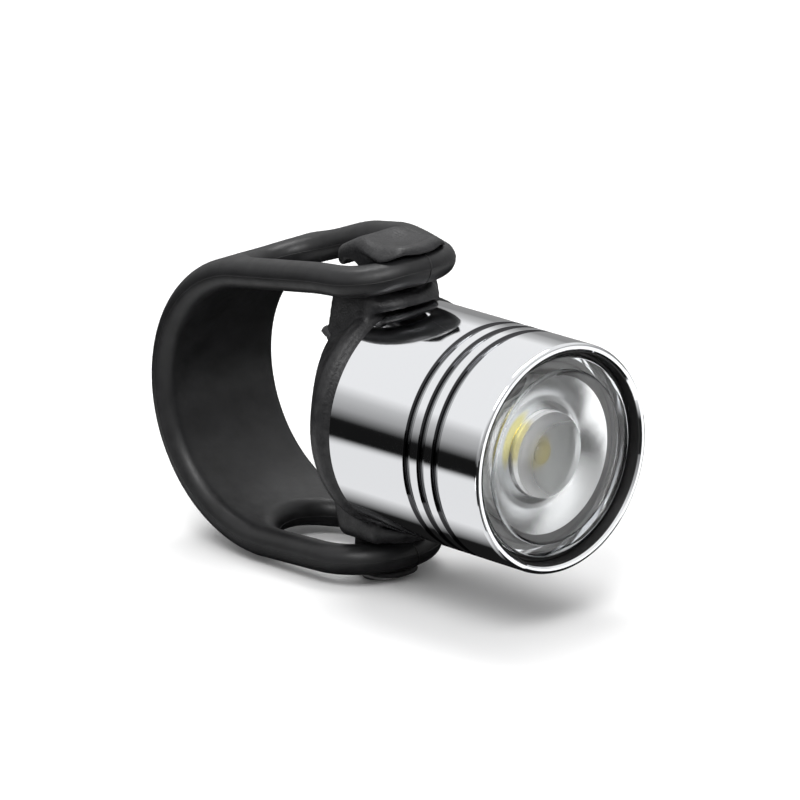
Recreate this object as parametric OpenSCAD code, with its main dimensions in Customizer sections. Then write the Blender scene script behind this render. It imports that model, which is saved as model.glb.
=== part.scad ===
// Bicycle headlight: a turned metal head with a push-lens, screwed onto a moulded base
// that rubber straps to a handlebar. Origin on the handlebar's axis, X along the bar,
// the beam points along -Y, +Z is up.

/* [Handlebar] */
// Diameter of the handlebar that the saddle fits
bar_d = 25.4; // [22:0.1:28]
// Thickness of the rubber saddle pad
pad_t = 1.2; // [0.8:0.1:2]
// Half of the angle that the saddle pad wraps round the bar
pad_half_angle = 56; // [55:1:58]

/* [Head] */
// Outer diameter of the turned head
head_d = 31; // [30:0.1:34]
// Length of the turned head
head_len = 28.4; // [27.8:0.1:34]
// Gap between the bar's surface and the head's rear edge
base_depth = 5.3; // [4.8:0.1:8]
// Thickness of the head's wall round the thread
head_wall = 2.1; // [1.6:0.1:2.4]
// Radial width of the bright front rim
rim_w = 1.1; // [0.9:0.05:1.4]
// Number of turned grooves
groove_n = 3; // [1:1:4]
// Width of a turned groove
groove_w = 1.2; // [0.8:0.1:1.6]
// Depth of a turned groove
groove_depth = 0.55; // [0.3:0.05:0.8]
// Distance from one groove to the next
groove_pitch = 2.65; // [2.2:0.05:3.2]
// Distance from the front rim to the rear of the first groove
groove_start = 8.65; // [6:0.05:10]

/* [Push lens] */
// Depth of the lens face behind the rim
lens_recess = 1.3; // [0.8:0.1:2]
// Thickness of the lens disc
lens_t = 2.6; // [2:0.1:3.2]
// Radial width of the dark seal round the lens
seal_w = 0.9; // [0.6:0.05:1.2]
// Height of the raised centre of the lens face
lens_step = 0.35; // [0.2:0.05:0.6]
// Radius of the collimator where it meets the lens disc
collimator_r = 10.6; // [9:0.1:11]
// Travel of the push lens
press_travel = 0.8; // [0.5:0.05:0.9]

/* [Light engine] */
// Thickness of the circuit board
board_t = 1; // [0.8:0.1:1.6]
// Side of the square LED package
led_w = 5; // [4:0.1:5.4]
// Height of the LED package
led_h = 0.8; // [0.5:0.1:0.9]
// Radius of the LED's clear dome
dome_r = 2.3; // [1.8:0.1:2.4]
// Side of the push switch
switch_w = 3; // [2.5:0.1:3.2]
// Height of the push switch
switch_h = 1.5; // [1.2:0.1:1.6]
// Gap between the push switch's corners and the hole of the board's carrier
switch_gap = 0.18; // [0.1:0.02:0.3]

/* [Cells] */
// Diameter of a coin cell
cell_d = 20; // [16:0.1:20.5]
// Thickness of a coin cell
cell_t = 3.2; // [2:0.1:3.4]
// Height of the front contact spring
front_contact_h = 3.2; // [2.6:0.1:4]
// Height of the rear contact spring
rear_contact_h = 1; // [0.8:0.1:1.4]
// Wall of the sleeve round the cells, between its ribs
sleeve_wall = 1; // [0.8:0.1:1.4]
// Number of ribs that centre the sleeve in the head
sleeve_ribs = 8; // [6:2:12]

/* [Base] */
// Length of the screwed plug inside the head
plug_len = 8; // [7:0.1:9]
// Width of the dark groove between the head and the collar
collar_groove_w = 1.2; // [0.8:0.1:1.6]
// Depth of that groove below the head's surface
collar_groove_depth = 0.5; // [0.3:0.1:0.8]
// Amount by which the collar stands out past the head, on the radius
collar_lip = 0.4; // [0.2:0.1:0.8]
// Width of the block that crosses the collar, and length of the saddle along the bar
block_w = 13; // [12:0.1:13.4]
// Height of the block above the head's surface
block_rise = 2; // [1.6:0.1:3]
// Reach of the block's round tongue in front of the head's rear edge
tongue_len = 2.7; // [2:0.1:4]
// Width of the upper strap hook behind its nose
hook_w = 8.8; // [7.6:0.1:9.4]
// Amount by which the upper hook's nose is wider, on each side
nose_flare = 1.6; // [1:0.1:1.8]
// Width of the lower strap hook
lower_hook_w = 7.4; // [7.3:0.1:8.4]
// Overhang of the upper hook's nose in front of its neck
upper_nose_reach = 3.8; // [3:0.1:4]
// Overhang of the lower hook's nose in front of its neck
lower_nose_reach = 2.6; // [2:0.1:3.2]
// Reach of the upper hook's head behind its neck
upper_tail = 9.8; // [9.4:0.1:10]
// Reach of the lower hook's head behind its neck
lower_tail = 5.2; // [5:0.1:6]
// Height of the upper hook's head above its loop
upper_head_t = 1.2; // [1:0.05:2]
// Height of the lower hook's head below its loop
lower_head_t = 1; // [0.9:0.05:2]
// Distance of the upper hook's neck behind the head's rear edge
upper_hook_back = 0.3; // [0:0.1:1]
// Distance of the lower hook's neck behind the head's rear edge
lower_hook_back = 4.1; // [3.4:0.1:4.6]

/* [Strap] */
// Thickness of the strap and diameter of its branches
strap_t = 4.2; // [3.6:0.1:4.4]
// Width of the strap
strap_w = 20.6; // [20.2:0.1:22]
// Radius of the middle of the strap behind the bar
strap_r = 18.8; // [18.6:0.1:20]
// Distance of the strap's centre behind the bar's axis
strap_back = 3.5; // [2.5:0.1:5]
// Distance of the strap's centre below the bar's axis
strap_drop = 2.1; // [1.9:0.05:2.3]
// Gap between the block and the upper loop's front
upper_lift = 1; // [0.7:0.05:1.6]
// Gap between the block and the lower loop's front
lower_lift = 0.35; // [0.3:0.05:1]
// How far the upper slot runs behind the strap's centre
upper_slot_reach = 6; // [4:0.1:8]
// How far the lower slot runs behind the strap's centre
lower_slot_reach = 3; // [2:0.1:6]

/* [Clearances] */
// Radial running clearance of threads, seals and plungers
run_gap = 0.06; // [0.04:0.01:0.09]
// Clearance between pieces that move past each other
free_gap = 0.3; // [0.25:0.05:0.4]
// Gap between a contact spring and the cell that it touches
touch_gap = 0.05; // [0.02:0.01:0.1]

/* [Hidden] */
$fn = 96;
eps = 0.01;
// How far a cutting shape runs past the face that it cuts
past = 1;

bar_r = bar_d / 2;
head_r = head_d / 2;
rear_y = -bar_r - base_depth;
front_y = rear_y - head_len;

// Cells and contacts, counted forwards from the plug
plug_y = rear_y - plug_len;
cells_rear_y = plug_y - rear_contact_h;
cells_front_y = cells_rear_y - 2 * cell_t;
cell_r = cell_d / 2;
sleeve_lip = 0.6;
sleeve_bore_r = cell_r + 0.15;
sleeve_hole_r = 0.8 * cell_r;

// Bores of the head
thread_r = head_r - head_wall;
sleeve_r = thread_r - 2 * free_gap;
plug_r = thread_r - run_gap;
rim_r = head_r - rim_w;

// Light engine
board_rear_y = cells_front_y - front_contact_h;
board_y = board_rear_y - board_t;
board_r = thread_r - 1.3;
carrier_r = thread_r - 0.05;
carrier_hole_r = board_r - 2.5;
carrier_front_y = board_y - 2.2;
carrier_rear_y = board_rear_y + 1.6;
board_screw_r = 0.7;
board_screw_head_r = 1.15;
board_screw_floor = 0.6;
board_screw_tip = 1;
board_screw_place = (board_r + carrier_hole_r) / 2;
phosphor_r = 1.7;
phosphor_t = 0.15;
switch_drop = sqrt(pow(carrier_hole_r - switch_gap, 2) - pow(switch_w / 2, 2)) - switch_w / 2;
plunger_r = 0.8;
plunger_h = 0.8;
switch_leg_r = 1;
chip = [3.2, 0.9, 3.2];
resistor = [1.6, 0.5, 0.8];
strip_t = 0.3;
strip_w = 5;
plunger_y = board_y - switch_h - plunger_h;

// Push lens
lens_y = front_y + lens_recess;
lens_rear_y = lens_y + lens_t;
lens_r = rim_r - seal_w;
lens_flange_t = 1;
lens_flange_r = rim_r - 0.2;
lens_flange_rear_y = lens_rear_y + 0.4;
lens_flange_y = lens_flange_rear_y - lens_flange_t;
lens_stop_y = lens_flange_rear_y + press_travel + 0.1;
collimator_end_y = board_y - press_travel - 0.9;
collimator_end_r = 4.6;
collimator_well_r = 3.9;
collimator_well_y = board_y - led_h - dome_r - press_travel - free_gap;
seal_front_y = lens_y + 0.5;

// Base
collar_r = head_r + collar_lip;
collar_y = rear_y + collar_groove_w;
cradle_r = bar_r + pad_t;
bar_gap = 0.5;
block_h = head_r + block_rise;
block_rear_y = -cradle_r + 4.1;
tongue_gap_r = head_r + free_gap + 0.05;
tongue_r = block_w / 2;
tongue_y = rear_y - tongue_len + tongue_r;
oring_t = 1.5;
oring_groove_y = rear_y - 2.4;
contact_plate_t = 0.4;
contact_screw_x = cell_r / 2;
contact_screw_r = 0.78;
contact_screw_l = 4;

// Strap
branch_x = (strap_w - strap_t) / 2;
slot_half = branch_x - strap_t / 2;
strap_z = -strap_drop;
// Hooks, with the loop's front resting free_gap in front of the neck
upper_neck_y = rear_y + upper_hook_back;
lower_neck_y = rear_y + lower_hook_back;
upper_loop_y = upper_neck_y - free_gap - strap_t / 2;
lower_loop_y = lower_neck_y - free_gap - strap_t / 2;
upper_loop_z = block_h + upper_lift + strap_t / 2;
lower_loop_z = -block_h - lower_lift - strap_t / 2;
upper_nose_z = upper_loop_z + strap_t / 2 + free_gap;
lower_nose_z = -lower_loop_z + strap_t / 2 + free_gap;

// Slopes of the branches, tangent to the round of the strap, and the points where they leave it
upper_slope = atan2(upper_loop_y - strap_back, upper_loop_z - strap_z)
    + acos(strap_r / norm([upper_loop_y - strap_back, upper_loop_z - strap_z]));
lower_slope = atan2(strap_back - lower_loop_y, strap_z - lower_loop_z)
    - acos(strap_r / norm([lower_loop_y - strap_back, lower_loop_z - strap_z]));
upper_start = [strap_back + strap_r * sin(upper_slope), strap_z + strap_r * cos(upper_slope)];
lower_start = [strap_back - strap_r * sin(lower_slope), strap_z - strap_r * cos(lower_slope)];

// Points on a circular arc in a plane, from one angle to another
function arc(centre, radius, from, to, steps = 8) =
    [for (i = [0:steps]) let (a = from + (to - from) * i / steps)
        [centre[0] + radius * cos(a), centre[1] + radius * sin(a)]];

// A solid turned about the lamp's axis from points of radius and Y
module turned(points) {
    rotate([-90, 0, 0]) rotate_extrude() polygon(points);
}

// A disc on the lamp's axis, or on a line parallel to it
module disc(from_y, to_y, radius, x = 0, z = 0) {
    translate([x, from_y, z]) rotate([-90, 0, 0]) cylinder(h = to_y - from_y, r = radius);
}

// Carries an outline of Y and Z into a plate across X
module across_x(width) {
    translate([-width / 2, 0, 0]) rotate([90, 0, 90]) linear_extrude(width) children();
}

// A plate with rounded corners
module rounded_plate(width, height, radius) {
    square([width - 2 * radius, height], center = true);
    square([width, height - 2 * radius], center = true);
    for (sx = [-1, 1], sz = [-1, 1])
        translate([sx * (width / 2 - radius), sz * (height / 2 - radius)]) circle(radius);
}

// Turned metal head: rim, three grooves, lens bore, inner lip and threaded bore
module body_shell() {
    edge = 0.5;
    rear_edge = 0.3;
    color("silver") difference() {
        turned(concat(
            [[0, front_y]],
            arc([head_r - edge, front_y + edge], edge, -90, 0, 6),
            [[head_r, rear_y - rear_edge], [head_r - rear_edge, rear_y], [0, rear_y]]));
        turned([[0, front_y - 1], [rim_r + 1.3, front_y - 1], [rim_r, front_y + 0.3],
            [rim_r, lens_stop_y], [0, lens_stop_y]]);
        disc(lens_stop_y - eps, carrier_front_y + eps, thread_r - 0.6);
        disc(carrier_front_y, rear_y + 1, thread_r);
        for (i = [0:groove_n - 1])
            groove(front_y + groove_start + i * groove_pitch);
    }
}

// One turned groove with sloping walls, its rear edge at rear
module groove(rear) {
    slope = 0.2;
    floor_r = head_r - groove_depth;
    turned([[floor_r, rear - slope], [head_r + slope, rear + slope], [head_r + 1, rear + slope],
        [head_r + 1, rear - groove_w - slope], [head_r + slope, rear - groove_w - slope],
        [floor_r, rear - groove_w + slope]]);
}

// Dark seal that holds the lens flange in the head
module lens_seal() {
    color("black") turned([[lens_r + run_gap, seal_front_y + 0.2], [lens_r + run_gap + 0.2, seal_front_y],
        [rim_r, seal_front_y], [rim_r, lens_flange_y - touch_gap],
        [lens_r + run_gap, lens_flange_y - touch_gap]]);
}

// Clear push lens: stepped face, flange, collimator with a well over the LED, switch leg
module lens_button() {
    chamfer = 0.25;
    step_r = lens_r - 1.7;
    color([0.85, 0.9, 0.95, 0.5]) difference() {
        union() {
            turned([[0, lens_y - lens_step], [step_r - chamfer, lens_y - lens_step],
                [step_r, lens_y - lens_step + chamfer], [step_r, lens_y], [lens_r - chamfer, lens_y],
                [lens_r, lens_y + chamfer], [lens_r, lens_flange_y], [lens_flange_r, lens_flange_y],
                [lens_flange_r, lens_flange_rear_y], [lens_flange_r - 1.4, lens_flange_rear_y],
                [lens_flange_r - 1.4, lens_rear_y], [collimator_r, lens_rear_y],
                [collimator_end_r, collimator_end_y], [0, collimator_end_y]]);
            disc(lens_rear_y - eps, plunger_y - touch_gap, switch_leg_r, 0, -switch_drop);
        }
        turned([[0, collimator_well_y], [collimator_well_r - 0.8, collimator_well_y],
            [collimator_well_r, collimator_end_y + past], [0, collimator_end_y + past]]);
    }
}

// Moulded ring that carries the circuit board in the head
module board_carrier() {
    color("dimgray") difference() {
        disc(carrier_front_y, carrier_rear_y, carrier_r);
        disc(carrier_front_y - past, board_y + eps, carrier_hole_r);
        disc(board_y, carrier_rear_y + past, board_r + 0.05);
        for (side = [-1, 1])
            disc(carrier_front_y + board_screw_floor, board_y + past, board_screw_r,
                side * board_screw_place, 0);
    }
}

// Round circuit board with holes for its screws
module led_board() {
    color("white") difference() {
        disc(board_y, board_rear_y, board_r);
        for (side = [-1, 1])
            disc(board_y - past, board_rear_y + past, board_screw_r, side * board_screw_place, 0);
    }
}

// Square LED package with chamfered corners
module led_base() {
    corner = 0.5;
    half = led_w / 2;
    color("gainsboro") translate([0, board_y, 0]) rotate([90, 0, 0]) linear_extrude(led_h)
        polygon([[half, half - corner], [half - corner, half], [-half + corner, half],
            [-half, half - corner], [-half, -half + corner], [-half + corner, -half],
            [half - corner, -half], [half, -half + corner]]);
}

// Yellow phosphor disc under the dome
module led_phosphor() {
    color("gold") disc(board_y - led_h - phosphor_t, board_y - led_h, phosphor_r);
}

// Clear dome over the phosphor
module led_dome() {
    base_y = board_y - led_h;
    color([0.95, 0.95, 0.9, 0.6]) difference() {
        turned(concat([[0, base_y]], arc([0, base_y], dome_r, 0, -90, 16)));
        disc(base_y - phosphor_t, base_y + 1, phosphor_r);
    }
}

// Push switch with a hole for its plunger
module switch_body() {
    color("black") difference() {
        translate([-switch_w / 2, board_y - switch_h, -switch_drop - switch_w / 2])
            cube([switch_w, switch_h, switch_w]);
        disc(board_y - switch_h - 1, board_y - 0.3, plunger_r + run_gap, 0, -switch_drop);
    }
}

// Plunger of the push switch, moved by the lens
module switch_plunger() {
    color("ivory") disc(plunger_y, board_y - 0.3 - press_travel - 0.1, plunger_r, 0, -switch_drop);
}

// Driver chip with its two rows of legs
module controller_chip() {
    leg = [0.6, 0.3, 0.5];
    row_pitch = chip[2] / 3;
    color("black") translate([0, board_y, carrier_hole_r - chip[2] / 2 - 1.4]) {
        translate([-chip[0] / 2, -chip[1], -chip[2] / 2]) cube(chip);
        for (side = [-1, 1], row = [-1, 0, 1])
            translate([side * (chip[0] + leg[0]) / 2 - leg[0] / 2, -leg[1], row * row_pitch - leg[2] / 2])
                cube(leg);
    }
}

// Four chip resistors on the front of the board
module chip_resistors() {
    place = 0.75 * carrier_hole_r;
    row_place = 2.75 * resistor[2];
    color("saddlebrown") for (side = [-1, 1], row = [-1, 1])
        translate([side * place - resistor[0] / 2, board_y - resistor[1], row * row_place - resistor[2] / 2])
            cube(resistor);
}

// Two screws that hold the board in its carrier
module board_screws() {
    color("gray") for (side = [-1, 1]) {
        disc(carrier_front_y + board_screw_tip, board_rear_y + eps, board_screw_r - 0.02,
            side * board_screw_place, 0);
        difference() {
            disc(board_rear_y, board_rear_y + 0.8, board_screw_head_r, side * board_screw_place, 0);
            disc(board_rear_y + 0.5, board_rear_y + past, 0.45, side * board_screw_place, 0);
        }
    }
}

// Bent leaf that carries current from the front cell to the board
module positive_contact() {
    reach = front_contact_h - touch_gap;
    foot = 0.6 * cell_r;
    bend = 0.22 * cell_r;
    tip = 0.34 * cell_r;
    crest = 0.12 * cell_r;
    low = [[-foot, 0], [-bend, 0], [crest, reach - strip_t], [tip, reach - strip_t]];
    high = [[tip, reach], [crest - strip_t / 2, reach], [-bend - strip_t / 2, strip_t], [-foot, strip_t]];
    color("goldenrod") translate([0, board_rear_y, -strip_w / 2]) linear_extrude(strip_w)
        polygon(concat(low, high));
}

// Insulating sleeve round the two cells, with a front lip and ribs that centre it
module battery_sleeve() {
    front = cells_front_y - sleeve_lip;
    rear = cells_rear_y + 0.2;
    rib_w = 1.6;
    color("darkgreen") difference() {
        union() {
            disc(front, rear, sleeve_bore_r + sleeve_wall);
            intersection() {
                disc(front, rear, sleeve_r);
                for (i = [0:sleeve_ribs / 2 - 1])
                    rotate([0, 360 * i / sleeve_ribs, 0])
                        translate([-sleeve_r, front, -rib_w / 2]) cube([2 * sleeve_r, rear - front, rib_w]);
            }
        }
        disc(cells_front_y, rear + past, sleeve_bore_r);
        disc(front - past, cells_front_y + past, sleeve_hole_r);
    }
}

// Coin cell: can with a rolled edge and a smaller rear cap
module coin_cell(front) {
    roll = 0.3;
    cap_t = 0.5;
    cap_r = cell_r - 1.1;
    color("lightsteelblue") turned([[0, front], [cell_r - roll, front], [cell_r, front + roll],
        [cell_r, front + cell_t - cap_t - roll], [cell_r - roll, front + cell_t - cap_t],
        [cap_r + 0.2, front + cell_t - cap_t], [cap_r + 0.2, front + cell_t - cap_t - 0.3],
        [cap_r, front + cell_t - cap_t - 0.3], [cap_r, front + cell_t - 0.15],
        [cap_r - 0.15, front + cell_t], [0, front + cell_t]]);
}

module battery_front() {
    coin_cell(cells_front_y);
}

module battery_rear() {
    coin_cell(cells_front_y + cell_t);
}

// Sprung plate on the plug that touches the rear cell
module negative_contact() {
    plate_l = 1.5 * cell_r;
    lift = rear_contact_h - touch_gap;
    dimple = 2.4;
    color("goldenrod") difference() {
        union() {
            translate([-plate_l / 2, plug_y - contact_plate_t, -strip_w / 2])
                cube([plate_l, contact_plate_t, strip_w]);
            turned([[0, plug_y - lift], [dimple / 2, plug_y - lift], [dimple, plug_y - contact_plate_t],
                [dimple, plug_y - contact_plate_t / 2], [0, plug_y - contact_plate_t / 2]]);
        }
        for (side = [-1, 1])
            disc(plug_y - 2, plug_y + 1, contact_screw_r + 0.02, side * contact_screw_x, 0);
    }
}

// Two screws that hold the rear contact on the plug
module contact_screws() {
    color("gray") for (side = [-1, 1]) {
        disc(plug_y - contact_plate_t - eps, plug_y + contact_screw_l, contact_screw_r,
            side * contact_screw_x, 0);
        disc(plug_y - contact_plate_t - 0.45, plug_y - contact_plate_t, 1.8 * contact_screw_r,
            side * contact_screw_x, 0);
    }
}

// Seal between the plug and the head
module body_oring() {
    color("black") rotate([-90, 0, 0]) translate([0, 0, oring_groove_y]) rotate_extrude()
        translate([plug_r - oring_t / 2, 0]) circle(oring_t / 2);
}

// Moulded base: plug, collar, block with its tongues, saddle pocket and hooks
module base_housing() {
    color("black") difference() {
        union() {
            plug();
            collar();
            block();
            upper_hook();
            mirror([0, 0, 1]) strap_hook(lower_neck_y, lower_nose_z, lower_head_t, lower_nose_reach,
                lower_hook_w, lower_tail);
        }
        turned([[plug_r - oring_t, oring_groove_y - 1], [plug_r + 1, oring_groove_y - 1],
            [plug_r + 1, oring_groove_y + 1], [plug_r - oring_t, oring_groove_y + 1]]);
        for (side = [-1, 1])
            disc(plug_y - 1, plug_y + contact_screw_l + free_gap, contact_screw_r + 0.02,
                side * contact_screw_x, 0);
        across_x(4 * head_r) circle(bar_r + bar_gap);
        across_x(block_w) circle(cradle_r);
    }
}

// Plug that screws into the head
module plug() {
    lead = 0.5;
    turned([[0, plug_y], [plug_r - lead, plug_y], [plug_r, plug_y + lead], [plug_r, rear_y + 1],
        [0, rear_y + 1]]);
}

// Round collar that tapers towards the bar
module collar() {
    groove_r = head_r - collar_groove_depth;
    land = 0.8;
    waist = [collar_r - 2, -bar_r + 0.3];
    tail = [collar_r - 4, -bar_r + 4.1];
    turned([[0, rear_y], [groove_r, rear_y], [groove_r, collar_y], [collar_r - 0.2, collar_y],
        [collar_r, collar_y + 0.2], [collar_r, collar_y + land], [collar_r - 0.45, collar_y + land + 1.4],
        [waist[0] + 0.5, waist[1] - 0.9], waist, tail, [0, tail[1]]]);
}

// Block across the collar, with a round tongue over the head at each end
module block() {
    edge = 1.2;
    slant_w = 1.1;
    slant_h = 1.4;
    far = tongue_y - tongue_r;
    intersection() {
        union() {
            across_x(block_w) polygon([[collar_y, -block_h], [collar_y, block_h],
                [block_rear_y, block_h], [block_rear_y + 1.6, bar_r - 2.4],
                [block_rear_y + 1.6, 2.4 - bar_r], [block_rear_y, -block_h]]);
            difference() {
                translate([0, tongue_y, 0]) rotate_extrude() polygon([[0, -block_h],
                    [tongue_r - slant_w, -block_h], [tongue_r, slant_h - block_h],
                    [tongue_r, block_h - slant_h], [tongue_r - slant_w, block_h], [0, block_h]]);
                disc(far - past, collar_y + 2, tongue_gap_r);
            }
        }
        translate([0, block_rear_y + 3, 0]) rotate([90, 0, 0]) linear_extrude(block_rear_y + 4 - far)
            rounded_plate(block_w, 2 * block_h, edge);
    }
}

// Rubber pad between the saddle and the bar
module saddle_pad() {
    far = 2 * cradle_r;
    color("dimgray") across_x(block_w) intersection() {
        difference() {
            circle(cradle_r);
            circle(bar_r);
        }
        polygon([[0, 0], [-far * cos(pad_half_angle), far * sin(pad_half_angle)],
            [-far, far * sin(pad_half_angle)], [-far, -far * sin(pad_half_angle)],
            [-far * cos(pad_half_angle), -far * sin(pad_half_angle)]]);
    }
}

// Upper hook: its nose flares over the loop's front, and its head is crowned and dished
module upper_hook() {
    dish_r = 10;
    dish_depth = 0.9;
    crown_r = 14;
    crown_z = upper_nose_z + 1.75;
    difference() {
        intersection() {
            union() {
                strap_hook(upper_neck_y, upper_nose_z, upper_head_t, upper_nose_reach, hook_w, upper_tail);
                flared_nose();
            }
            translate([0, 0, crown_z - crown_r]) rotate([90, 0, 0])
                cylinder(h = 8 * crown_r, r = crown_r, center = true);
        }
        translate([0, upper_neck_y + 1.6, upper_nose_z + upper_head_t + dish_r - dish_depth])
            sphere(dish_r);
    }
}

// Outline of a hook's top in Y and Z, from the nose to the shoulder behind the neck
function hook_top(neck_y, nose_z, head_t, reach, tail) =
    let (nose_r = 0.45, shoulder_r = 2.2)
    concat(arc([neck_y - reach + nose_r, nose_z + head_t - nose_r], nose_r, 245, 95),
        arc([neck_y + tail / 2 - 0.7, nose_z - 0.45], shoulder_r, 82, 50));

// Plate that widens the upper hook over the loop's front
module flared_nose() {
    front = upper_neck_y - upper_nose_reach;
    front_r = 9.3;
    corner_r = 2.6;
    half = hook_w / 2;
    wide = half + nose_flare;
    spread = asin((wide - corner_r) / (front_r - corner_r));
    corner_y = front + front_r - (front_r - corner_r) * cos(spread);
    rear_y = upper_neck_y + 5.5;
    intersection() {
        across_x(2 * wide + 1) polygon(concat([[rear_y, upper_nose_z], [upper_neck_y, upper_nose_z + 0.1]],
            hook_top(upper_neck_y, upper_nose_z, upper_head_t, upper_nose_reach, upper_tail)));
        translate([0, 0, upper_nose_z - 1]) linear_extrude(4) polygon(concat(
            arc([0, front + front_r], front_r, 270 - spread, 270 + spread),
            arc([wide - corner_r, corner_y], corner_r, spread - 90, 20),
            [[half, rear_y + 0.2], [-half, rear_y + 0.2]],
            arc([corner_r - wide, corner_y], corner_r, 160, 270 - spread)));
    }
}

// Hook above the block: neck, overhanging nose, and a head that droops behind its shoulder
module strap_hook(neck_y, nose_z, head_t, reach, width, tail) {
    root_z = block_h - 1;
    neck_t = 4.4;
    neck_half = 3.6;
    lobe_r = 1.2;
    lobe = [neck_y + tail, nose_z - 2.2];
    hollow_r = 2;
    hollow = [neck_y + tail - 3.1, nose_z - 4.2];
    half = width / 2;
    front_round_y = neck_y - reach + half;
    rear_round_y = neck_y + tail - 2.6;
    intersection() {
        across_x(width + 2) polygon(concat(
            [[neck_y + 2.1, nose_z - 1.5], [neck_y + 1.6, nose_z], [neck_y, nose_z + 0.1]],
            hook_top(neck_y, nose_z, head_t, reach, tail),
            arc(lobe, lobe_r, 50, -115),
            hollow[0] - hollow_r > neck_y + neck_t - 0.5 ? arc(hollow, hollow_r, 22, 158) : [],
            [[neck_y + neck_t, root_z]]));
        translate([0, 0, root_z]) linear_extrude(nose_z - root_z + 3) {
            translate([0, front_round_y]) circle(half);
            translate([0, rear_round_y]) circle(half);
            polygon([[-half, front_round_y], [half, front_round_y],
                [half, rear_round_y], [-half, rear_round_y]]);
        }
    }
    translate([0, 0, root_z]) linear_extrude(nose_z - root_z + 0.4) intersection() {
        translate([0, neck_y + slot_half - free_gap]) circle(slot_half - free_gap);
        translate([-neck_half, neck_y]) square([2 * neck_half, neck_t]);
    }
}

// Strap behind the bar, round at its edges and slotted at both ends
module strap_band() {
    half_t = strap_t / 2;
    start_angle = -90 - lower_slope;
    sweep = 180 + lower_slope - upper_slope;
    color("black") difference() {
        translate([0, strap_back, strap_z]) rotate([90, 0, 90]) rotate([0, 0, start_angle])
            rotate_extrude(angle = sweep) translate([strap_r, 0]) {
                square([strap_t, strap_w - strap_t], center = true);
                for (side = [-1, 1])
                    translate([0, side * (strap_w - strap_t) / 2]) circle(half_t);
            }
        strap_slot(upper_slot_reach, 0);
        strap_slot(lower_slot_reach, -60);
    }
}

// Slot with a round end that parts the strap's two branches
module strap_slot(reach, from_z) {
    translate([0, strap_back + reach - slot_half, from_z]) {
        cylinder(h = 60, r = slot_half);
        translate([-slot_half, -60, 0]) cube([2 * slot_half, 60, 60]);
    }
}

// Loop of the strap: two straight branches and a round front
module strap_loop(length) {
    bend_y = -length + branch_x;
    for (side = [-1, 1])
        translate([side * branch_x, 0, 0]) rotate([90, 0, 0]) cylinder(h = -bend_y, r = strap_t / 2);
    translate([0, bend_y, 0]) rotate([0, 0, 180]) rotate_extrude(angle = 180)
        translate([branch_x, 0]) circle(strap_t / 2);
}

// Upper loop, hooked over the upper hook
module strap_top_loop() {
    color("black") translate([0, upper_start[0], upper_start[1]]) rotate([-upper_slope, 0, 0])
        strap_loop((upper_start[0] - upper_loop_y) / cos(upper_slope));
}

// Lower loop, hooked over the lower hook
module strap_bottom_loop() {
    color("black") translate([0, lower_start[0], lower_start[1]]) rotate([-lower_slope, 0, 0])
        strap_loop((lower_start[0] - lower_loop_y) / cos(lower_slope));
}

base_housing();
saddle_pad();
body_oring();
negative_contact();
contact_screws();
strap_band();
strap_top_loop();
strap_bottom_loop();
battery_front();
battery_rear();
battery_sleeve();
body_shell();
lens_seal();
board_carrier();
led_board();
led_base();
led_phosphor();
led_dome();
switch_body();
controller_chip();
chip_resistors();
positive_contact();
board_screws();
lens_button();
switch_plunger();
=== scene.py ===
import math

import bmesh
import bpy
import numpy as np
from mathutils import Matrix, Vector


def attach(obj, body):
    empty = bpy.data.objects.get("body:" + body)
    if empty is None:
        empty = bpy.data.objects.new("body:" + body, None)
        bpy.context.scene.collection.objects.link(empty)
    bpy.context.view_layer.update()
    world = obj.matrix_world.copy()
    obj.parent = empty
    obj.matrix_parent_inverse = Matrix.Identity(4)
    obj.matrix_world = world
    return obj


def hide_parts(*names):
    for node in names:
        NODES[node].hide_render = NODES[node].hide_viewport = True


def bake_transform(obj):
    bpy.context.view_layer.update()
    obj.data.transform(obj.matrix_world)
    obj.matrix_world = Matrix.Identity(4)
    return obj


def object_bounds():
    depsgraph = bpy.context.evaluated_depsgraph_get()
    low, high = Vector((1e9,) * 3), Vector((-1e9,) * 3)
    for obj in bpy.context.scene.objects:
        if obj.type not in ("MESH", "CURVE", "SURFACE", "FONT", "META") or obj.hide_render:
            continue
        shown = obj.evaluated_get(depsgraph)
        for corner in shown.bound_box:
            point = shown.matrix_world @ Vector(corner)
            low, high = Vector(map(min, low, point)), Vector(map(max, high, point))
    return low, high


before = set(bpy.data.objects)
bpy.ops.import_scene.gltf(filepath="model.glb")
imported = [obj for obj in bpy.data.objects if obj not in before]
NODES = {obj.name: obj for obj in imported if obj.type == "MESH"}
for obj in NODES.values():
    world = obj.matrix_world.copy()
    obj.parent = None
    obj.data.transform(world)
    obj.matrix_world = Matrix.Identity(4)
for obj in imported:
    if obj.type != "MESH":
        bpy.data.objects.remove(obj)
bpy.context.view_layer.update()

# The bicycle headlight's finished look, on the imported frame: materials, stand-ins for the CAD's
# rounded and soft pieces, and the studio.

MM = 0.001

# Sizes repeated from the part, in millimetres.
HEAD_R = 15.5
HEAD_FRONT_Y = -46.4
RIM_R = 14.4
LENS_R = 13.5
LENS_FACE_Y = -45.1
LENS_STEP = 0.35
LENS_REAR_Y = -42.5
COLLIMATOR_R = 10.6
COLLIMATOR_END_R = 5.8
COLLIMATOR_END_Y = -39.94
SEAL_FRONT_Y = -44.6
SEAL_REAR_Y = -43.15
ORING_Y = -20.4
ORING_OUTER_R = 13.34
ORING_TUBE_R = 0.75
STRAP_R = 18.8
STRAP_BACK = 3.5
STRAP_DROP = 2.1
STRAP_T = 4.2
STRAP_W = 20.6
UPPER_LOOP = (-20.1, 20.6)
LOWER_LOOP = (-16.3, -19.95)
UPPER_SLOT_REACH = 6.0
LOWER_SLOT_REACH = 3.0
THREAD_PITCH = 1.5

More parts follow.
